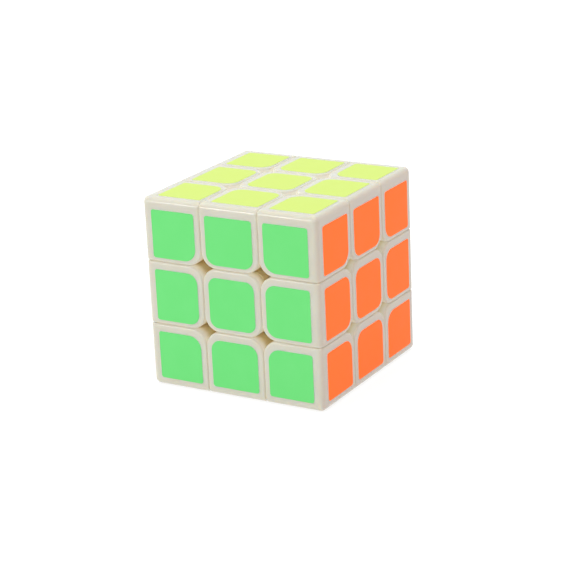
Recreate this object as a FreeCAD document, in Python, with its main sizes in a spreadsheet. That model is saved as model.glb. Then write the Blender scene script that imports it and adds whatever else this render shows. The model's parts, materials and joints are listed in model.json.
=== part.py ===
import FreeCAD, Part
import math
import os
import Sketcher
from FreeCAD import Placement, Rotation, Vector

# A three-layer twisty puzzle cube, in millimetres.
# +Z is up, the front face looks along -Y and the right face along +X. The origin is the middle of
# the face that the cube stands on. Each kind of piece is drawn once, about the cube's centre, with
# its outer face towards +Z and its second outer face, if it has one, towards +X. Copies of it are
# then turned into their places.
#
# Inside a ball of ball_radius the pieces are cut along planes closer to the middle (foot_cut) than
# outside it, so each foot reaches under its neighbours and any layer can still turn.

SIZES = {
    "cube_side": 57.0,          # over the stickers
    "sticker_thick": 0.1,
    "layer_gap": 0.1,           # between neighbouring layers
    "ball_play": 0.2,           # between the feet and the pieces that they reach under
    "cube_edge_round": 1.6,     # along the twelve edges of the cube
    "seam_round": 0.6,          # where two pieces meet on a face
    "junction_round": 4.6,      # the corners of the pieces around each meeting point of four
    "shell_wall": 1.4,
    "ball_radius": 22.0,
    "foot_cut": 5.7,
    "foot_hollow_radius": 16.0,
    "plug_reach": 3.0,          # how far a foot's plug goes into its shell, past the ball
    "stalk_radius": 5.3,
    "stalk_start": 12.6,        # heights in a centre piece are counted from the cube's centre
    "stalk_floor": 1.6,
    "spring_bore": 3.9,
    "screw_hole": 1.7,
    "rim_height": 25.0,         # where a centre cap meets its base
    "box_wall": 1.5,
    "cap_top": 1.5,
    "snap_depth": 1.8,
    "snap_wall": 1.3,
    "hairline": 0.25,           # chamfer along the joint of cap and base
    "hub_radius": 6.6,
    "arm_radius": 4.0,
    "arm_reach": 12.5,
    "pilot_radius": 1.3,        # the screw cuts its own thread in the arm
    "pilot_depth": 8.2,
    "screw_radius": 1.5,
    "screw_tip": 5.0,
    "screw_taper": 1.2,
    "screw_head_radius": 3.5,
    "screw_head_thick": 1.6,
    "screw_head_edge": 0.9,
    "thread_pitch": 0.8,
    "thread_depth": 0.3,
    "thread_reach": 7.6,
    "recess_length": 3.6,
    "recess_width": 0.9,
    "recess_depth": 1.0,
    "spring_length": 6.5,
    "spring_radius": 3.3,
    "spring_wire": 0.6,
    "spring_coils": 6.5,
    "sticker_near": 11.24,      # outer stickers start here, counted from the middle of the face
    "sticker_far": 25.5,
    "sticker_outer_round": 0.8,
    "corner_sticker_round": 3.8,
    "edge_sticker_half": 7.66,
    "edge_sticker_round": 3.2,
    "centre_sticker_half": 7.5,
    "centre_sticker_round": 2.7,
    "side_sheet_drop": 0.5,     # the nine stickers of a face go on together, a little off centre
    "top_sheet_right": 0.8,
    "top_sheet_forward": 0.5,
}

FACES = {
    "top": Vector(0, 0, 1),
    "bottom": Vector(0, 0, -1),
    "front": Vector(0, -1, 0),
    "back": Vector(0, 1, 0),
    "left": Vector(-1, 0, 0),
    "right": Vector(1, 0, 0),
}
STICKER_COLOURS = {
    "top": "yellow",
    "bottom": "white",
    "front": "green",
    "back": "blue",
    "left": "red",
    "right": "orange",
}
LEVELS = ("top", "bottom")
DEPTHS = ("front", "back")
SIDES = ("left", "right")

doc = FreeCAD.newDocument("puzzle_cube")


class Size:
    """A length: its value in millimetres, and the expression on the sheet that drives it."""

    def __init__(self, value, text):
        self.value = value
        self.text = text

    def __add__(self, other):
        other = as_size(other)
        return Size(self.value + other.value, f"({self.text} + {other.text})")

    def __sub__(self, other):
        other = as_size(other)
        return Size(self.value - other.value, f"({self.text} - {other.text})")

    def __mul__(self, factor):
        return Size(self.value * factor, f"({self.text} * {factor})")

    def __truediv__(self, divisor):
        return Size(self.value / divisor, f"({self.text} / {divisor})")

    def __neg__(self):
        return Size(-self.value, f"(0 - {self.text})")


def as_size(number):
    return number if isinstance(number, Size) else Size(number, str(number))


def make_sheet():
    sheet = doc.addObject("Spreadsheet::Sheet", "Sizes")
    for row, (name, value) in enumerate(SIZES.items(), start=1):
        sheet.set(f"A{row}", name)
        sheet.set(f"B{row}", str(value))
        sheet.setAlias(f"B{row}", name)
    doc.recompute()


def size(name):
    return Size(SIZES[name], f"Sizes.{name}")


def drive(thing, **properties):
    """Bind properties to sizes; two underscores in a name stand for a dot."""
    for name, value in properties.items():
        thing.setExpression(name.replace("__", "."), as_size(value).text)


# Derived planes and radii, counted from the cube's centre.
half_gap = size("layer_gap") / 2
half_play = size("ball_play") / 2
outer = size("cube_side") / 2 - size("sticker_thick")
cut = outer / 3
inner = cut + half_gap
middle = cut - half_gap
cavity_low = inner + size("shell_wall")
cavity_high = outer - size("shell_wall")
cavity_round = size("junction_round") - size("shell_wall")
foot_low = size("foot_cut") + half_gap
foot_half = size("foot_cut") - half_gap
foot_top = size("ball_radius") - half_play
shell_under = size("ball_radius") + half_play
plug_end = size("ball_radius") + size("plug_reach")
box_half = middle - size("box_wall")
box_round = size("junction_round") - size("box_wall")
spring_seat = size("stalk_start") + size("stalk_floor")
screw_seat = spring_seat + size("spring_length")
zero = Size(0.0, "0")


# Sketches and features ---------------------------------------------------------------------------

def new_sketch(body, name, role, height=zero):
    """A sketch on one of the body's own origin planes, moved out along the plane's normal."""
    sketch = body.newObject("Sketcher::SketchObject", name)
    plane = next(item for item in body.Origin.OriginFeatures if item.Role == role)
    sketch.AttachmentSupport = [(plane, "")]
    sketch.MapMode = "FlatFace"
    drive(sketch, AttachmentOffset__Base__z=height)
    return sketch


def constrain(sketch, *arguments, to=None):
    index = sketch.addConstraint(Sketcher.Constraint(*arguments))
    if to is not None:
        sketch.setExpression(f"Constraints[{index}]", to.text)


def pin_point(sketch, geometry, point, across, up):
    """Hold one end of a sketch line at a driven position."""
    if across.value == 0:
        constrain(sketch, "PointOnObject", geometry, point, -2)
    else:
        constrain(sketch, "DistanceX", -1, 1, geometry, point, across.value, to=across)
    if up.value == 0:
        constrain(sketch, "PointOnObject", geometry, point, -1)
    else:
        constrain(sketch, "DistanceY", -1, 1, geometry, point, up.value, to=up)


def draw_polygon(sketch, points):
    lines = []
    for start, end in zip(points, points[1:] + points[:1]):
        segment = Part.LineSegment(Vector(start[0].value, start[1].value, 0),
                                   Vector(end[0].value, end[1].value, 0))
        lines.append(sketch.addGeometry(segment, False))
    for this, following in zip(lines, lines[1:] + lines[:1]):
        constrain(sketch, "Coincident", this, 2, following, 1)
    for line, (across, up) in zip(lines, points):
        pin_point(sketch, line, 1, across, up)


def draw_rounded(sketch, low, high, radii):
    """A rectangle from low to high with its own radius at each corner, anticlockwise from low."""
    (left, bottom), (right, top) = low, high
    corners = [(left, bottom, 1, 1), (right, bottom, -1, 1), (right, top, -1, -1), (left, top, 1, -1)]
    quarter = math.pi / 2
    arcs = []
    for turn, ((across, up, side, rise), radius) in enumerate(zip(corners, radii)):
        centre = Vector(across.value + side * radius.value, up.value + rise * radius.value, 0)
        circle = Part.Circle(centre, Vector(0, 0, 1), radius.value)
        start = (turn + 2) * quarter
        arcs.append(sketch.addGeometry(Part.ArcOfCircle(circle, start, start + quarter), False))
        constrain(sketch, "Radius", arcs[-1], radius.value, to=radius)
    for turn, arc in enumerate(arcs):
        following = arcs[(turn + 1) % 4]
        start = sketch.getPoint(arc, 2)
        end = sketch.getPoint(following, 1)
        line = sketch.addGeometry(Part.LineSegment(start, end), False)
        constrain(sketch, "Tangent", arc, 2, line, 1)
        constrain(sketch, "Tangent", line, 2, following, 1)
        constrain(sketch, "Vertical" if turn % 2 else "Horizontal", line)
        if turn % 2:
            across = right if turn == 1 else left
            constrain(sketch, "DistanceX", -1, 1, line, 1, across.value, to=across)
        else:
            up = bottom if turn == 0 else top
            constrain(sketch, "DistanceY", -1, 1, line, 1, up.value, to=up)


def draw_circle(sketch, across, up, radius):
    circle = Part.Circle(Vector(across.value, up.value, 0), Vector(0, 0, 1), radius.value)
    index = sketch.addGeometry(circle, False)
    pin_point(sketch, index, 3, across, up)
    constrain(sketch, "Radius", index, radius.value, to=radius)


def pad(body, name, sketch, length):
    feature = body.newObject("PartDesign::Pad", name)
    feature.Profile = sketch
    drive(feature, Length=length)
    return feature


def pocket(body, name, sketch, depth, upwards=False):
    feature = body.newObject("PartDesign::Pocket", name)
    feature.Profile = sketch
    feature.Reversed = upwards
    drive(feature, Length=depth)
    return feature


def square_pad(body, name, half, low, high, radius):
    """A prism with a rounded square section, standing on the cube's axis from low to high."""
    sketch = new_sketch(body, f"{name}_outline", "XY_Plane", low)
    draw_rounded(sketch, (-half, -half), (half, half), [radius] * 4)
    return pad(body, name, sketch, high - low)


def block(body, name, across, along, up):
    """A plain box between two planes in X, in Y and in Z."""
    sketch = new_sketch(body, f"{name}_outline", "XY_Plane", up[0])
    corners = [(across[0], along[0]), (across[1], along[0]), (across[1], along[1]), (across[0], along[1])]
    draw_polygon(sketch, corners)
    return pad(body, name, sketch, up[1] - up[0])


def round_edges(body, name, base, edges, radius):
    feature = body.newObject("PartDesign::Fillet", name)
    feature.Base = (base, edges)
    drive(feature, Radius=radius)
    doc.recompute()
    return feature


def cut_body(body, name, tool):
    feature = body.newObject("PartDesign::Boolean", name)
    feature.setObjects([tool])
    feature.Type = "Cut"
    body.Tip = feature
    return feature


def cut_ball(body, name, radius):
    feature = body.newObject("PartDesign::SubtractiveSphere", name)
    drive(feature, Radius=radius)
    body.Tip = feature
    return feature


# Choosing edges by where they are ----------------------------------------------------------------

def same(first, second):
    return abs(first - second) < 1e-4


def middle_of(edge):
    return edge.valueAt((edge.FirstParameter + edge.LastParameter) / 2)


def is_sharp(shape, edge):
    """Whether the two faces at the edge meet at an angle."""
    point = middle_of(edge)
    normals = []
    for face in shape.ancestorsOfType(edge, Part.Face):
        normals.append(face.normalAt(*face.Surface.parameter(point)))
    return len(normals) == 2 and abs(normals[0].dot(normals[1])) < 0.9


def edges_where(shape, wanted):
    return [f"Edge{number}" for number, edge in enumerate(shape.Edges, start=1) if wanted(edge)]


def parallel_edges(shape, places):
    """Straight edges whose middle lies on two of the given planes, each an axis and a position."""
    def wanted(edge):
        point = middle_of(edge)
        return sum(same(point[axis], place.value) for axis, place in places) == 2
    return edges_where(shape, wanted)


# The two shells ----------------------------------------------------------------------------------

def shell_body(name, along, junctions, cube_edges, hidden):
    """A hollow block for a corner or an edge of the cube, with a ball-shaped underside.

    along is the block's extent in Y, junctions and cube_edges say which edges get the large and the
    cube-edge rounding, and hidden says which sharp edge the ball takes away again.
    """
    body = doc.addObject("PartDesign::Body", name)
    base = block(body, f"{name}_block", (inner, outer), along, (inner, outer))
    doc.recompute()
    edges = parallel_edges(base.Shape, junctions)
    base = round_edges(body, f"{name}_junctions", base, edges, size("junction_round"))
    edges = parallel_edges(base.Shape, cube_edges)
    base = round_edges(body, f"{name}_cube_edges", base, edges, size("cube_edge_round"))
    shape = base.Shape
    seams = edges_where(shape, lambda edge: is_sharp(shape, edge) and not hidden(middle_of(edge)))
    round_edges(body, f"{name}_seams", base, seams, size("seam_round"))
    cut_ball(body, f"{name}_underside", shell_under)
    return body


def cavity_body(name, along, junctions):
    """The hollow of a shell: the block again, one wall thickness further in."""
    body = doc.addObject("PartDesign::Body", name)
    base = block(body, f"{name}_block", (cavity_low, cavity_high), along, (cavity_low, cavity_high))
    doc.recompute()
    edges = parallel_edges(base.Shape, junctions)
    round_edges(body, f"{name}_rounds", base, edges, cavity_round)
    return body


def corner_bodies():
    cavity = cavity_body("corner_cavity", (cavity_low, cavity_high), [(axis, cavity_low) for axis in range(3)])
    shell = shell_body(
        "corner_shell",
        (inner, outer),
        [(axis, inner) for axis in range(3)],
        [(axis, outer) for axis in range(3)],
        lambda point: False,
    )
    cut_body(shell, "corner_shell_hollow", cavity)
    return shell, cavity


def edge_bodies():
    wall = size("shell_wall")
    along = (-middle, middle)
    cavity_along = (-middle + wall, middle - wall)
    cavity = cavity_body(
        "edge_cavity",
        cavity_along,
        [(0, cavity_low), (2, cavity_low), (1, cavity_along[0]), (1, cavity_along[1])],
    )
    shell = shell_body(
        "edge_shell",
        along,
        [(0, inner), (2, inner), (1, along[0]), (1, along[1])],
        [(0, outer), (2, outer)],
        lambda point: same(point.x, inner.value) and same(point.z, inner.value),
    )
    cut_body(shell, "edge_shell_hollow", cavity)
    return shell, cavity


# The two feet: sectors of a ball, with a neck and a plug that closes the shell above ---------------

def ball(name, radius):
    solid = doc.addObject("Part::Sphere", name)
    drive(solid, Radius=radius)
    return solid


def box(name, across, along, up):
    solid = doc.addObject("Part::Box", name)
    drive(solid, Length=across[1] - across[0], Width=along[1] - along[0], Height=up[1] - up[0])
    drive(solid, Placement__Base__x=across[0], Placement__Base__y=along[0], Placement__Base__z=up[0])
    return solid


def combine(kind, name, base, tool):
    result = doc.addObject(kind, name)
    result.Base = base
    result.Tool = tool
    return result


def foot(name, along, cavity):
    """A foot between two planes in Y, reaching up into the shell's cavity."""
    reach = (foot_low, size("ball_radius"))
    wedge = box(f"{name}_wedge", reach, along, reach)
    sector = combine("Part::Common", f"{name}_sector", wedge, ball(f"{name}_outside", foot_top))
    sector = combine("Part::Cut", f"{name}_slab", sector, ball(f"{name}_inside", size("foot_hollow_radius")))

    neck_reach = (cavity_low, size("ball_radius"))
    neck_along = (along[0] if along[0].value < 0 else cavity_low, along[1])
    neck = box(f"{name}_neck_block", neck_reach, neck_along, neck_reach)
    neck = combine("Part::Common", f"{name}_neck", neck, ball(f"{name}_neck_end", shell_under))

    plug = combine("Part::Common", f"{name}_plug_block", cavity, ball(f"{name}_plug_end", plug_end))
    plug = combine("Part::Cut", f"{name}_plug", plug, ball(f"{name}_plug_start", shell_under))

    whole = doc.addObject("Part::MultiFuse", name)
    whole.Shapes = [sector, neck, plug]
    whole.Refine = True
    return whole


# The centre piece: a base that turns on the core's arm, and a cap snapped onto it ------------------

def chamfer_rim(body, name, base):
    """A fine chamfer round the outside where cap and base meet."""
    rim = size("rim_height").value

    def wanted(edge):
        box_of_edge = edge.BoundBox
        on_rim = same(box_of_edge.ZMin, rim) and same(box_of_edge.ZMax, rim)
        reach = max(abs(coordinate) for coordinate in middle_of(edge)[:2])
        return on_rim and reach > box_half.value + size("hairline").value

    feature = body.newObject("PartDesign::Chamfer", name)
    feature.Base = (base, edges_where(base.Shape, wanted))
    drive(feature, Size=size("hairline"))
    doc.recompute()
    return feature


def centre_base_body():
    rim = size("rim_height")
    dish = doc.addObject("PartDesign::Body", "dish_cavity")
    square_pad(dish, "dish_block", box_half, spring_seat, rim, box_round)
    cut_ball(dish, "dish_floor", shell_under + size("box_wall"))

    body = doc.addObject("PartDesign::Body", "centre_base")
    square_pad(body, "base_block", middle, spring_seat, rim, size("junction_round"))
    cut_ball(body, "base_underside", shell_under)
    stalk = new_sketch(body, "stalk_outline", "XY_Plane", size("stalk_start"))
    draw_circle(stalk, zero, zero, size("stalk_radius"))
    pad(body, "stalk", stalk, shell_under + half_play - size("stalk_start"))
    cut_body(body, "base_dish", dish)

    axis_mark = new_sketch(body, "bore_outline", "XY_Plane", rim)
    draw_circle(axis_mark, zero, zero, size("screw_hole"))
    doc.recompute()
    bore = body.newObject("PartDesign::Hole", "spring_bore")
    bore.Profile = axis_mark
    doc.recompute()
    bore.DepthType = "ThroughAll"
    bore.HoleCutType = "Counterbore"
    drive(
        bore,
        Diameter=size("screw_hole") * 2,
        HoleCutDiameter=size("spring_bore") * 2,
        HoleCutDepth=rim - spring_seat,
    )
    body.Tip = bore
    doc.recompute()
    chamfer_rim(body, "base_hairline", bore)
    return body


def centre_cap_body():
    rim = size("rim_height")
    skirt_end = rim - size("snap_depth")
    body = doc.addObject("PartDesign::Body", "centre_cap")
    lid = square_pad(body, "lid", middle, rim, outer, size("junction_round"))
    doc.recompute()
    top_edges = edges_where(lid.Shape, lambda edge: same(edge.BoundBox.ZMin, outer.value))
    round_edges(body, "lid_seams", lid, top_edges, size("seam_round"))
    square_pad(body, "snap_skirt", box_half, skirt_end, rim, box_round)
    hollow = new_sketch(body, "lid_hollow_outline", "XY_Plane", skirt_end)
    hollow_half = box_half - size("snap_wall")
    draw_rounded(hollow, (-hollow_half, -hollow_half), (hollow_half, hollow_half),
                 [box_round - size("snap_wall")] * 4)
    hollow_depth = outer - size("cap_top") - skirt_end
    scooped = pocket(body, "lid_hollow", hollow, hollow_depth, upwards=True)
    doc.recompute()
    chamfer_rim(body, "cap_hairline", scooped)
    return body


# The core, its screws and its springs -------------------------------------------------------------

def core_body():
    body = doc.addObject("PartDesign::Body", "core")
    hub = body.newObject("PartDesign::AdditiveSphere", "hub")
    drive(hub, Radius=size("hub_radius"))
    for name, direction in FACES.items():
        arm = body.newObject("PartDesign::AdditiveCylinder", f"{name}_arm")
        arm.Placement = Placement(Vector(), Rotation(Vector(0, 0, 1), direction))
        drive(arm, Radius=size("arm_radius"), Height=size("arm_reach"))
    start = size("arm_reach") - size("pilot_depth")
    for name, direction in FACES.items():
        pilot = body.newObject("PartDesign::SubtractiveCylinder", f"{name}_pilot_hole")
        pilot.Placement = Placement(direction * start.value, Rotation(Vector(0, 0, 1), direction))
        drive(pilot, Radius=size("pilot_radius"), Height=size("pilot_depth"))
        axis = "xyz"[[abs(part) for part in direction].index(1)]
        pilot.setExpression(f"Placement.Base.{axis}", (start * int(sum(direction))).text)
    body.Tip = pilot
    drive(body, Placement__Base__z=size("cube_side") / 2)
    return body


def screw_body():
    """A pan-headed screw with a cross recess and a cut thread, on the +Z arm."""
    radius = size("screw_radius")
    tip = size("screw_tip")
    head = size("screw_head_radius")
    top = screw_seat + size("screw_head_thick")
    body = doc.addObject("PartDesign::Body", "core_screw")
    profile = new_sketch(body, "screw_profile", "XZ_Plane")
    draw_polygon(profile, [
        (zero, tip),
        (radius, tip + size("screw_taper")),
        (radius, screw_seat),
        (head, screw_seat),
        (head, screw_seat + size("screw_head_edge")),
        (head - size("screw_head_edge"), top),
        (zero, top),
    ])
    turned = body.newObject("PartDesign::Revolution", "screw_turned")
    turned.Profile = profile
    turned.ReferenceAxis = (profile, ["V_Axis"])
    turned.Angle = 360

    recess = new_sketch(body, "recess_outline", "XY_Plane", top)
    long_half = size("recess_length") / 2
    thin_half = size("recess_width") / 2
    draw_polygon(recess, [
        (long_half, -thin_half),
        (long_half, thin_half),
        (thin_half, thin_half),
        (thin_half, long_half),
        (-thin_half, long_half),
        (-thin_half, thin_half),
        (-long_half, thin_half),
        (-long_half, -thin_half),
        (-thin_half, -thin_half),
        (-thin_half, -long_half),
        (thin_half, -long_half),
        (thin_half, -thin_half),
    ])
    pocket(body, "recess", recess, size("recess_depth"))

    depth = size("thread_depth")
    flank = size("thread_pitch") * 0.4
    groove = new_sketch(body, "thread_profile", "XZ_Plane")
    draw_polygon(groove, [
        (radius - depth, tip),
        (radius + depth, tip - flank),
        (radius + depth, tip + flank),
    ])
    thread = body.newObject("PartDesign::SubtractiveHelix", "thread")
    thread.Profile = groove
    thread.ReferenceAxis = (groove, ["V_Axis"])
    thread.Mode = "pitch-height-angle"
    drive(thread, Pitch=size("thread_pitch"), Height=size("thread_reach"))
    body.Tip = thread
    return body


def spring_body():
    """A compression spring on the +Z arm, with both ends ground flat."""
    radius = size("spring_radius")
    body = doc.addObject("PartDesign::Body", "core_spring")
    wire = new_sketch(body, "wire_section", "XZ_Plane")
    draw_circle(wire, radius, spring_seat, size("spring_wire") / 2)
    coil = body.newObject("PartDesign::AdditiveHelix", "coil")
    coil.Profile = wire
    coil.ReferenceAxis = (wire, ["V_Axis"])
    coil.Mode = "height-turns-angle"
    drive(coil, Height=size("spring_length"), Turns=size("spring_coils"))
    reach = radius + size("spring_wire")
    for name, low in (("low", spring_seat - size("spring_wire")), ("high", screw_seat)):
        ground = body.newObject("PartDesign::SubtractiveBox", f"{name}_ground_end")
        drive(ground, Length=reach * 2, Width=reach * 2, Height=size("spring_wire"))
        drive(ground, Placement__Base__x=-reach, Placement__Base__y=-reach, Placement__Base__z=low)
    body.Tip = ground
    return body


# Stickers ----------------------------------------------------------------------------------------

def sticker_body(name, low, high, radii):
    """A die-cut sticker on the +Z face."""
    body = doc.addObject("PartDesign::Body", name)
    outline = new_sketch(body, f"{name}_outline", "XY_Plane", outer)
    draw_rounded(outline, low, high, radii)
    pad(body, f"{name}_sheet", outline, size("sticker_thick"))
    return body


def sticker_bodies():
    near = size("sticker_near")
    far = size("sticker_far")
    small = size("sticker_outer_round")
    half = size("centre_sticker_half")
    centre = sticker_body("centre_sticker", (-half, -half), (half, half),
                          [size("centre_sticker_round")] * 4)
    half = size("edge_sticker_half")
    large = size("edge_sticker_round")
    edge = sticker_body("edge_sticker", (near, -half), (far, half), [large, small, small, large])
    corner = sticker_body("corner_sticker", (near, near), (far, far),
                          [size("corner_sticker_round"), small, small, small])
    return {"centre": centre, "edge": edge, "corner": corner}


# Turning copies into place -----------------------------------------------------------------------

def place_copy(master, name, normal, toward):
    """A copy whose +Z looks along normal and whose +X looks along toward."""
    body = doc.addObject("PartDesign::Body", name)
    copy = body.newObject("PartDesign::FeatureBase", f"{name}_copy")
    copy.BaseFeature = master
    body.Tip = copy
    body.Placement = Placement(Vector(), Rotation(toward, normal.cross(toward), normal, "ZXY"))
    drive(body, Placement__Base__z=size("cube_side") / 2)
    return body


def place_sticker(master, name, face, toward):
    """A copy of a sticker, as far off centre as its face's sheet of nine."""
    body = place_copy(master, name, FACES[face], toward)
    if face == "top":
        drive(body, Placement__Base__x=size("top_sheet_right"))
        drive(body, Placement__Base__y=-size("top_sheet_forward"))
    elif face != "bottom":
        drive(body, Placement__Base__z=size("cube_side") / 2 - size("side_sheet_drop"))
    return body


def second_face(normal, others):
    """Of the two other faces of a corner, the one that a copy's +X looks along."""
    first, last = (FACES[face] for face in others)
    return first if (normal.cross(first) - last).Length < 0.5 else last


def any_side(normal):
    return FACES["right"] if abs(normal.x) < 0.5 else FACES["back"]


def group(name, members):
    """Separate like pieces that share one node."""
    together = doc.addObject("Part::Compound", name)
    together.Links = members
    return together


def layer_of(faces):
    return next((face for face in faces if face in LEVELS), "middle")


def collect(groups, name, member):
    groups.setdefault(name, []).append(member)


def build_nodes():
    corner_shell, corner_cavity = corner_bodies()
    edge_shell, edge_cavity = edge_bodies()
    doc.recompute()
    corner_foot = foot("corner_foot", (foot_low, size("ball_radius")), corner_cavity)
    edge_foot = foot("edge_foot", (-foot_half, foot_half), edge_cavity)
    base = centre_base_body()
    cap = centre_cap_body()
    screw = screw_body()
    spring = spring_body()
    stickers = sticker_bodies()
    doc.recompute()

    nodes = [core_body()]
    groups = {}

    for face, normal in FACES.items():
        toward = any_side(normal)
        nodes.append(place_copy(base, f"centre_base_{face}", normal, toward))
        nodes.append(place_copy(cap, f"centre_cap_{face}", normal, toward))
        nodes.append(place_sticker(stickers["centre"], f"{face}_centre_sticker", face, toward))
        collect(groups, "core_screws", place_copy(screw, f"screw_{face}", normal, toward))
        collect(groups, "core_springs", place_copy(spring, f"spring_{face}", normal, toward))

    corners = [(level, depth, side) for level in LEVELS for depth in DEPTHS for side in SIDES]
    for faces in corners:
        where = "_".join(faces)
        layer = layer_of(faces)
        normal = FACES[faces[0]]
        toward = second_face(normal, faces[1:])
        nodes.append(place_copy(corner_shell, f"corner_shell_{where}", normal, toward))
        piece = place_copy(corner_foot, f"corner_foot_{where}", normal, toward)
        collect(groups, f"corner_feet_{layer}", piece)
        for face in faces:
            toward = second_face(FACES[face], [other for other in faces if other != face])
            sticker = place_sticker(stickers["corner"], f"sticker_{where}_on_{face}", face, toward)
            collect(groups, f"{layer}_layer_{STICKER_COLOURS[face]}_stickers", sticker)

    edges = [(level, face) for level in LEVELS for face in DEPTHS + SIDES]
    edges += [(depth, side) for depth in DEPTHS for side in SIDES]
    for faces in edges:
        where = "_".join(faces)
        layer = layer_of(faces)
        normal, toward = (FACES[face] for face in faces)
        nodes.append(place_copy(edge_shell, f"edge_shell_{where}", normal, toward))
        piece = place_copy(edge_foot, f"edge_foot_{where}", normal, toward)
        collect(groups, f"edge_feet_{layer}", piece)
        for face, other in (faces, faces[::-1]):
            sticker = place_sticker(stickers["edge"], f"sticker_{where}_on_{face}", face, FACES[other])
            collect(groups, f"{layer}_layer_{STICKER_COLOURS[face]}_stickers", sticker)

    nodes += [group(name, members) for name, members in groups.items()]
    return nodes


def check(nodes):
    """Stop if anything in the document failed, before a file is written."""
    for thing in doc.Objects:
        if "Invalid" in thing.State or "Error" in thing.State:
            raise RuntimeError(f"{thing.Name} failed: {thing.State}")
    for node in nodes:
        if node.Shape.isNull() or not node.Shape.isValid() or not node.Shape.Solids:
            raise RuntimeError(f"{node.Label} has no valid solid")


def write(nodes):
    os.makedirs("parts", exist_ok=True)
    for node in nodes:
        node.Shape.exportStep(f"parts/{node.Label}.step")
        print(f"{node.Label}: {len(node.Shape.Solids)} solids, {node.Shape.Volume:.1f} mm3")
    print(len(nodes), "nodes")


make_sheet()
cube_nodes = build_nodes()
doc.recompute()
check(cube_nodes)
write(cube_nodes)
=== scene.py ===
"""Looks of the twisty puzzle cube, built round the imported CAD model. Metres throughout."""
import json

import bmesh
import bpy
from mathutils import Matrix, Vector


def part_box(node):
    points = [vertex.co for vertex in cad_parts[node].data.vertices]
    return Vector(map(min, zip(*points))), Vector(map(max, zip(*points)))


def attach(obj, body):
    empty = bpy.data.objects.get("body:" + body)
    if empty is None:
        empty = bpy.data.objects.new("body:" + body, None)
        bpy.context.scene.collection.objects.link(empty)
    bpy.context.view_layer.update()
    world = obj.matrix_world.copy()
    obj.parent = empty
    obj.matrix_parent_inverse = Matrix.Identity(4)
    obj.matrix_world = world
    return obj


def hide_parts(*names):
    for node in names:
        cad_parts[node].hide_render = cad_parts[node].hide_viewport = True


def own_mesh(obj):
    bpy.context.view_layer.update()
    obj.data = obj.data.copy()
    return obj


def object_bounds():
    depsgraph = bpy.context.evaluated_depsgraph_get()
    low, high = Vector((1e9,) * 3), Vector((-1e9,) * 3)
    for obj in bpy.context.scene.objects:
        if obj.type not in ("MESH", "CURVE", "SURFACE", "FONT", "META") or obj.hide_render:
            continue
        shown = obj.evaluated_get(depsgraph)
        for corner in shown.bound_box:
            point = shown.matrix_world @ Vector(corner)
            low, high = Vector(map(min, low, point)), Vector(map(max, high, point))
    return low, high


MM = 0.001
WHITE = (1.0, 1.0, 1.0)

# Linear colours of painted light on the ivory plastic: a painted warm shade down in the gaps, and a painted orange
# bounce on the right face.
GAP_SHADE_IVORY = (0.88, 0.76, 0.46)
ORANGE_BOUNCE_IVORY = (0.503, 0.438, 0.377)

# How far the plastic takes the painted orange bounce on the right face, and the gap's tan where dust lies.
ORANGE_BOUNCE_SHARE = 0.9
DUST_SHARE = 0.1

# Roughness of clean and of smudged plastic, what wear takes off it, and what a scratch adds.
CLEAN_PLASTIC = 0.19
SMUDGED_PLASTIC = 0.24
WORN_OFF = 0.04
SCRATCHED = 0.05

# Strength of the painted glow in the gaps just under the cube's faces, and farther down; it stands in for light
# through the plastic's thin walls.
NEAR_GLOW = 0.26
FAR_GLOW = 0.02

# How much of that painted glow the seams' ends and the right side have, and what painted light from above adds to
# it on top.
SEAM_END_SHARE = 0.6
RIGHT_SHARE = 0.85
EXTRA_ON_TOP = 0.4

# The painted glow's colours near the faces, deep down, and in the gaps of the top face.
PALE_LIGHT = (1.0, 0.93, 0.8)
AMBER_LIGHT = (1.0, 0.86, 0.55)
TOP_LIGHT = (1.0, 0.98, 0.9)

# The off-white cut edge of a sticker, partly its own core and partly painted light that lifts the shade at its
# step; how far its patches take their own colour, the roughness of its smooth and rough parts, and how much
# smoother a scratch is.
PALE_CORE_AND_PAINTED_FILL = (0.85, 0.85, 0.78)
PATCH_SHARE = 0.6
SMOOTH_VINYL = 0.42
ROUGH_VINYL = 0.5
RUBBED_OFF = 0.1

# The direction of the two lamps on the left, seen from the cube, and the colour of the cool lamp above.
LEFT = (-0.49, -0.84, 0.22)
COOL_WHITE = (0.82, 0.94, 1.0)

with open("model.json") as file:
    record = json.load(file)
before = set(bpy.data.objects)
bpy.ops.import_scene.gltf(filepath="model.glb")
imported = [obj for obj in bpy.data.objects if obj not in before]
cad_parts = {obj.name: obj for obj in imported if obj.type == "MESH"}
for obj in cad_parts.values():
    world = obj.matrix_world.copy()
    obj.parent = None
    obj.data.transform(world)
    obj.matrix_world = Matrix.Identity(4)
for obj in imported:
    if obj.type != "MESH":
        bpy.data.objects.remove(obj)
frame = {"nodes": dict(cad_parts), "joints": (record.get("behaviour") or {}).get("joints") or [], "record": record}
cad_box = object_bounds()
low, high = cad_box
centre = (low + high) / 2
half = (high.z - low.z) / 2
seam = half / 3


def beneath(depth):
    """How far from the cube's middle a place is that lies so many millimetres under a face."""
    return half - depth * MM


# Materials ---------------------------------------------------------------------------------------

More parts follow.
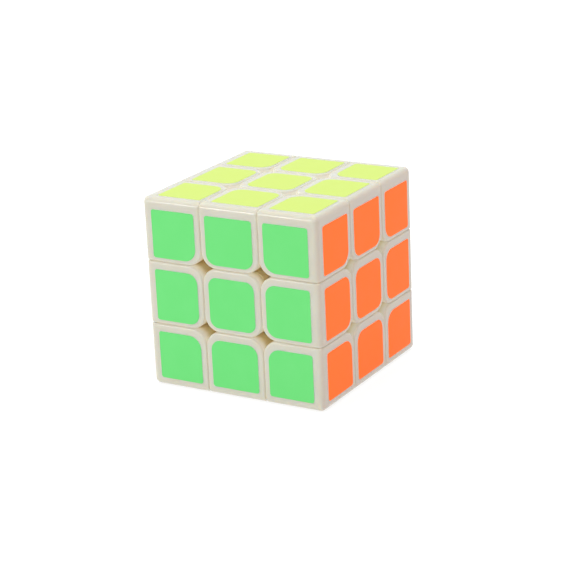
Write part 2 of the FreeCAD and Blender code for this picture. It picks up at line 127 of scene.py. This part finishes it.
class Nodes:
    """A material's node tree, with short ways to add and join nodes."""

    def __init__(self, name):
        self.material = bpy.data.materials.new(name)
        self.material.use_nodes = True
        self.tree = self.material.node_tree
        self.shader = self.tree.nodes["Principled BSDF"]
        self.place = self.add("ShaderNodeTexCoord").outputs["Object"]

    def add(self, kind, **settings):
        node = self.tree.nodes.new(kind)
        for name, value in settings.items():
            setattr(node, name, value)
        return node

    def feed(self, socket, value):
        """Join an output to a socket, or set the socket to a number, a place or a colour."""
        if isinstance(value, bpy.types.NodeSocket):
            self.tree.links.new(value, socket)
        elif socket.type == "RGBA":
            socket.default_value = (*value, 1.0)
        else:
            socket.default_value = value

    def set(self, **values):
        """Feed sockets of the shader; underscores stand for spaces."""
        for name, value in values.items():
            self.feed(self.shader.inputs[name.replace("_", " ")], value)

    def operate(self, kind, operation, first, second):
        """Add a node that works on one or two values."""
        node = self.add(kind, operation=operation)
        self.feed(node.inputs[0], first)
        if second is not None:
            self.feed(node.inputs[1], second)
        return node.outputs[0]

    def math(self, operation, first, second=None):
        return self.operate("ShaderNodeMath", operation, first, second)

    def vector(self, operation, first, second=None):
        return self.operate("ShaderNodeVectorMath", operation, first, second)

    def noise(self, feature, detail, stretch=None, warp=0.0):
        """Fractal noise about 0.5, with features about so many metres across."""
        node = self.add("ShaderNodeTexNoise")
        node.inputs["Scale"].default_value = 1 / feature
        node.inputs["Detail"].default_value = detail
        node.inputs["Distortion"].default_value = warp
        place = self.vector("MULTIPLY", self.place, stretch) if stretch else self.place
        self.feed(node.inputs["Vector"], place)
        return node.outputs["Fac"]

    def fade(self, value, start, stop, low_out=0.0, high_out=1.0):
        """Go smoothly from low_out at start to high_out at stop, and no further."""
        node = self.add("ShaderNodeMapRange", interpolation_type="SMOOTHSTEP")
        for name, number in (("Value", value), ("From Min", start), ("From Max", stop),
                             ("To Min", low_out), ("To Max", high_out)):
            self.feed(node.inputs[name], number)
        return node.outputs["Result"]

    def blend(self, factor, first, second):
        """Mix two colours: the first where factor is 0, the second where it is 1."""
        node = self.add("ShaderNodeMix", data_type="RGBA")
        for name, value in (("Factor_Float", factor), ("A_Color", first), ("B_Color", second)):
            self.feed(next(socket for socket in node.inputs if socket.identifier == name), value)
        return next(socket for socket in node.outputs if socket.identifier == "Result_Color")

    def bump(self, height, distance, lower=None):
        """A bump as deep as distance, laid over a lower one."""
        node = self.add("ShaderNodeBump")
        node.inputs["Distance"].default_value = distance
        self.feed(node.inputs["Height"], height)
        if lower:
            self.feed(node.inputs["Normal"], lower)
        return node.outputs["Normal"]

    def split(self, vector):
        """A vector's three parts."""
        node = self.add("ShaderNodeSeparateXYZ")
        self.feed(node.inputs[0], vector)
        return node.outputs

    def offset(self):
        """Where a place lies from the cube's middle, as a vector: rightward, backward, upward."""
        return self.vector("SUBTRACT", self.place, centre)

    def farthest(self, across, along, up):
        return self.math("MAXIMUM", self.math("MAXIMUM", across, along), up)

    def fold(self):
        """Distances from the cube's middle planes: the largest, middle and smallest."""
        across, along, up = self.split(self.vector("ABSOLUTE", self.offset()))
        largest = self.farthest(across, along, up)
        smallest = self.math("MINIMUM", self.math("MINIMUM", across, along), up)
        total = self.math("ADD", self.math("ADD", across, along), up)
        middle = self.math("SUBTRACT", self.math("SUBTRACT", total, largest), smallest)
        return largest, middle, smallest


def hairlines(nodes):
    """Fine scratches that run two ways, only in patches: 1 on a scratch."""
    lines = []
    for stretch in ((1.0, 0.06, 1.0), (0.07, 1.0, 0.05)):
        streaks = nodes.noise(0.5 * MM, detail=2, stretch=stretch, warp=0.4)
        lines.append(nodes.fade(streaks, 0.68, 0.74))
    patches = nodes.fade(nodes.noise(11 * MM, detail=2), 0.52, 0.7)
    return nodes.math("MULTIPLY", nodes.math("MAXIMUM", *lines), patches)


def painted_gap_glow(nodes, largest, middle, smallest, rightward, upward):
    """Colour and strength of a painted glow in the gaps: emission that stands in for the light that comes through
    the plastic's thin walls.

    None shows on the cube's faces, nor far inside. Along the cube's own edges it shows only in
    the ends of the seams.
    """
    strength = nodes.math("MULTIPLY", nodes.fade(largest, beneath(0.1), beneath(1.0)),
                          nodes.fade(largest, beneath(4), beneath(1.5), FAR_GLOW, NEAR_GLOW))
    strength = nodes.math("MULTIPLY", strength, nodes.fade(largest, beneath(14), beneath(8)))
    off_seam = nodes.math("ABSOLUTE", nodes.math("SUBTRACT", smallest, seam))
    inside = nodes.math("MAXIMUM", nodes.fade(middle, beneath(0.5), beneath(2.5)),
                        nodes.fade(off_seam, 0.6 * MM, 0.2 * MM, 0.0, SEAM_END_SHARE))
    strength = nodes.math("MULTIPLY", strength, inside)
    # Painted light from above: the gaps of the top face glow more, and paler; those on the right side glow less.
    on_top = nodes.fade(upward, beneath(8), beneath(3))
    share = nodes.math("ADD", nodes.math("MULTIPLY", on_top, EXTRA_ON_TOP),
                       nodes.fade(rightward, beneath(8), beneath(3), 1.0, RIGHT_SHARE))
    strength = nodes.math("MULTIPLY", strength, share)
    colour = nodes.blend(nodes.fade(largest, beneath(1), beneath(3.5)), PALE_LIGHT, AMBER_LIGHT)
    return nodes.blend(on_top, colour, TOP_LIGHT), strength


def ivory_plastic(name, fresh, aged):
    """Moulded ivory plastic with painted light: warmer down in the gaps, a painted shade and glow for the light
    that comes through its thin walls, and tinted on the right face, a painted bounce of the orange stickers'
    light."""
    nodes = Nodes(name)
    largest, middle, smallest = nodes.fold()
    rightward, _, upward = nodes.split(nodes.offset())
    cloud = nodes.noise(9 * MM, detail=3)
    smudge = nodes.noise(3.5 * MM, detail=3, warp=0.6)
    tone = nodes.blend(nodes.fade(cloud, 0.35, 0.7), fresh, aged)
    # Painted light: the right face's plastic is tinted pink, as if lit by light bounced off the orange stickers.
    orange_bounce = nodes.fade(rightward, beneath(1.2), beneath(0.2), 0.0, ORANGE_BOUNCE_SHARE)
    tone = nodes.blend(orange_bounce, tone, ORANGE_BOUNCE_IVORY)
    # Painted shade: the plastic turns warm tan deeper in the gaps, for their shade and warm bounce light.
    tone = nodes.blend(nodes.fade(largest, beneath(0.8), beneath(5)), tone, GAP_SHADE_IVORY)
    dust = nodes.math("MULTIPLY", nodes.fade(largest, beneath(0.1), beneath(0.7)),
                      nodes.fade(smudge, 0.35, 0.7, 0.0, DUST_SHARE))
    tone = nodes.blend(dust, tone, GAP_SHADE_IVORY)
    worn = nodes.math("MULTIPLY", nodes.fade(middle, beneath(1.8), beneath(0.4)),
                      nodes.fade(cloud, 0.4, 0.6))
    scratch = hairlines(nodes)
    rough = nodes.fade(smudge, 0.3, 0.7, CLEAN_PLASTIC, SMUDGED_PLASTIC)
    rough = nodes.math("SUBTRACT", rough, nodes.math("MULTIPLY", worn, WORN_OFF))
    rough = nodes.math("ADD", rough, nodes.math("MULTIPLY", scratch, SCRATCHED))
    wave = nodes.bump(nodes.noise(5 * MM, detail=1), 0.008 * MM)
    # Painted light: the gaps glow, though the plastic is no lamp.
    painted_glow_colour, painted_glow = painted_gap_glow(nodes, largest, middle, smallest, rightward, upward)
    nodes.set(Base_Color=tone, Roughness=rough, Normal=nodes.bump(scratch, -0.0006 * MM, wave), IOR=1.5,
              Subsurface_Weight=0.6, Subsurface_Scale=2.0 * MM, Subsurface_Radius=(1.0, 0.7, 0.4),
              Emission_Color=painted_glow_colour, Emission_Strength=painted_glow)
    return nodes.material


def vinyl(name, colour, faded, painted_glow=0.0):
    """Matt printed vinyl with a faint orange peel, a little faded in patches, and pale at its cut edge, partly its
    own core and partly painted light against the shade there.
    """
    nodes = Nodes(name)
    cloud = nodes.noise(6 * MM, detail=4)
    peel = nodes.noise(0.7 * MM, detail=2)
    scratch = hairlines(nodes)
    tone = nodes.blend(nodes.fade(cloud, 0.35, 0.75, 0.0, PATCH_SHARE), colour, faded)
    largest = nodes.farthest(*nodes.split(nodes.vector("ABSOLUTE", nodes.offset())))
    # Pale cut edge: partly the vinyl's own core, partly painted light that lifts the shade at the sticker's step.
    cut_edge = nodes.fade(largest, beneath(0.02), beneath(0.05))
    tone = nodes.blend(cut_edge, tone, PALE_CORE_AND_PAINTED_FILL)
    rough = nodes.math("SUBTRACT", nodes.fade(cloud, 0.3, 0.7, SMOOTH_VINYL, ROUGH_VINYL),
                       nodes.math("MULTIPLY", scratch, RUBBED_OFF))
    fine = nodes.bump(nodes.noise(0.12 * MM, detail=2), 0.002 * MM)
    nodes.set(Base_Color=tone, Roughness=rough, Normal=nodes.bump(peel, 0.006 * MM, fine), IOR=1.46,
              Specular_IOR_Level=0.15)
    # Painted light: the sticker glows in its own colour, though it is no lamp.
    if painted_glow:
        nodes.set(Emission_Color=tone, Emission_Strength=painted_glow)
    return nodes.material


def steel(name, bright, dull, smooth):
    """Plated wire and screws: drawing lines, and dull spots of oil."""
    nodes = Nodes(name)
    oil = nodes.noise(1.4 * MM, detail=4, warp=0.8)
    drawn = nodes.noise(0.15 * MM, detail=2, stretch=(1.0, 1.0, 0.15))
    nodes.set(Base_Color=nodes.blend(nodes.fade(oil, 0.4, 0.7), bright, dull), Metallic=1.0,
              Roughness=nodes.fade(oil, 0.35, 0.7, smooth, smooth + 0.2),
              Normal=nodes.bump(drawn, 0.003 * MM))
    return nodes.material


def make_materials():
    """The materials by slot name. Each row has a linear colour and that of its patches.

    A vinyl's last number is its painted glow, and a steel's is its roughness where no oil is.
    """
    rows = (
        (ivory_plastic, "shell_plastic", (0.520, 0.501, 0.425), (0.511, 0.487, 0.407)),
        (ivory_plastic, "inner_plastic", (0.66, 0.56, 0.38), (0.64, 0.53, 0.34)),
        (vinyl, "sticker_yellow", (0.492, 0.600, 0.125), (0.502, 0.607, 0.135)),
        (vinyl, "sticker_green", (0.126, 0.580, 0.157), (0.137, 0.590, 0.169)),
        (vinyl, "sticker_orange", (0.97, 0.140, 0.012), (0.97, 0.148, 0.016), 0.1),
        (vinyl, "sticker_blue", (0.02, 0.14, 0.55), (0.03, 0.16, 0.56)),
        (vinyl, "sticker_red", (0.60, 0.02, 0.025), (0.61, 0.035, 0.04)),
        (vinyl, "sticker_white", (0.72, 0.73, 0.73), (0.70, 0.70, 0.68)),
        (steel, "screw_steel", (0.62, 0.60, 0.55), (0.42, 0.40, 0.36), 0.22),
        (steel, "spring_steel", (0.55, 0.55, 0.56), (0.38, 0.38, 0.38), 0.2),
    )
    return {name: make(name, *look) for make, name, *look in rows}


def paint_cad_nodes():
    """Give each CAD node its slot's material, and each sticker a slightly rounded edge."""
    materials = make_materials()
    slots = {row["node"]: row["material_slot"] for row in frame["record"]["subparts"]}
    for name, node in frame["nodes"].items():
        node.data.materials.clear()
        node.data.materials.append(materials[slots[name]])
        if slots[name].startswith("sticker"):
            soften = node.modifiers.new("cut_edge", "BEVEL")
            soften.width = 0.04 * MM
            soften.segments = 2
            soften.limit_method = "ANGLE"
            soften.angle_limit = 1.0


# Springs -----------------------------------------------------------------------------------------

def keep_arm(mesh, outward, least):
    """Delete all of a mesh but what lies at least so far out along one arm. Return its inner end."""
    shape = bmesh.new()
    shape.from_mesh(mesh)
    others = [point for point in shape.verts if (point.co - centre).dot(outward) < least]
    bmesh.ops.delete(shape, geom=others, context="VERTS")
    inner_end = min((point.co - centre).dot(outward) for point in shape.verts)
    shape.to_mesh(mesh)
    shape.free()
    return inner_end


def springs():
    """Six springs under the screw heads, one cut from each arm of the CAD springs and fixed to the root."""
    all_six = frame["nodes"]["core_springs"]
    outer_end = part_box("core_springs")[1].z - centre.z
    for joint in frame["joints"]:
        if joint["type"] != "slide":
            continue
        outward = Vector(joint["axis"])
        name = joint["name"].replace("centre_lift", "spring")
        spring = bpy.data.objects.new(name, all_six.data.copy())
        bpy.context.scene.collection.objects.link(spring)
        inner_end = keep_arm(spring.data, outward, outer_end / 2)
        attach(spring, "root")
        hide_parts("core_springs")
        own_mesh(spring)


# Studio ------------------------------------------------------------------------------------------

def floor():
    """A wide paper floor that glows nearly white."""
    bpy.ops.mesh.primitive_circle_add(vertices=128, radius=8.0, fill_type="NGON", location=(0, 0, 0))
    disc = bpy.context.object
    disc.name = "studio_floor"
    nodes = Nodes("floor_paper")
    fibres = nodes.noise(0.4 * MM, detail=3)
    nodes.set(Base_Color=(0.3, 0.3, 0.3), Roughness=0.85, Emission_Color=WHITE, Emission_Strength=0.72,
              Normal=nodes.bump(fibres, 0.004 * MM))
    disc.data.materials.append(nodes.material)


def softbox(name, direction, distance, width, power, colour, glossy):
    """A round soft light that looks at the middle of the cube, and may show in its gloss."""
    data = bpy.data.lights.new(name, "AREA")
    data.shape = "DISK"
    data.size = width
    data.energy = power
    data.color = colour
    light = bpy.data.objects.new(name, data)
    toward = Vector(direction).normalized()
    light.location = centre + toward * distance
    light.rotation_euler = toward.to_track_quat("Z", "Y").to_euler()
    light.visible_glossy = glossy
    bpy.context.scene.collection.objects.link(light)


def white_world():
    """Even white light from all round."""
    world = bpy.data.worlds.new("studio_white")
    world.use_nodes = True
    background = world.node_tree.nodes["Background"]
    background.inputs["Color"].default_value = (*WHITE, 1.0)
    background.inputs["Strength"].default_value = 1.0
    bpy.context.scene.world = world


def studio():
    floor()
    white_world()
    softbox("left_light", LEFT, distance=1.0, width=0.20, power=1.6, colour=WHITE, glossy=True)
    softbox("left_fill", LEFT, distance=1.0, width=0.40, power=1.1, colour=WHITE, glossy=False)
    softbox("top_light", (-0.10, 0.15, 1.0), distance=0.45, width=0.55, power=1.2, colour=COOL_WHITE,
            glossy=False)
    ceiling = bpy.data.lights.new("ceiling_light", "SUN")
    ceiling.energy = 0.3
    ceiling.angle = 1.2
    bpy.context.scene.collection.objects.link(bpy.data.objects.new("ceiling_light", ceiling))
    scene = bpy.context.scene
    scene.view_settings.view_transform = "Standard"
    scene.view_settings.look = "None"


def camera():
    """A long lens, slightly above the cube and to its right, rolled a little."""
    data = bpy.data.cameras.new("camera")
    data.lens = 119.3
    data.sensor_width = 36.0
    data.clip_start = 0.01
    data.clip_end = 10.0
    holder = bpy.data.objects.new("camera", data)
    right = Vector((0.86268, 0.50379, -0.04444))
    down = Vector((0.12262, -0.29361, -0.94803))
    forward = right.cross(down).normalized()
    turn = Matrix((right, -down, -forward)).transposed()
    place = centre + Vector((267.3, -444.0, 170.2)) * MM
    holder.matrix_world = Matrix.Translation(place) @ turn.to_4x4()
    bpy.context.scene.collection.objects.link(holder)
    bpy.context.scene.camera = holder


paint_cad_nodes()
springs()
studio()
camera()
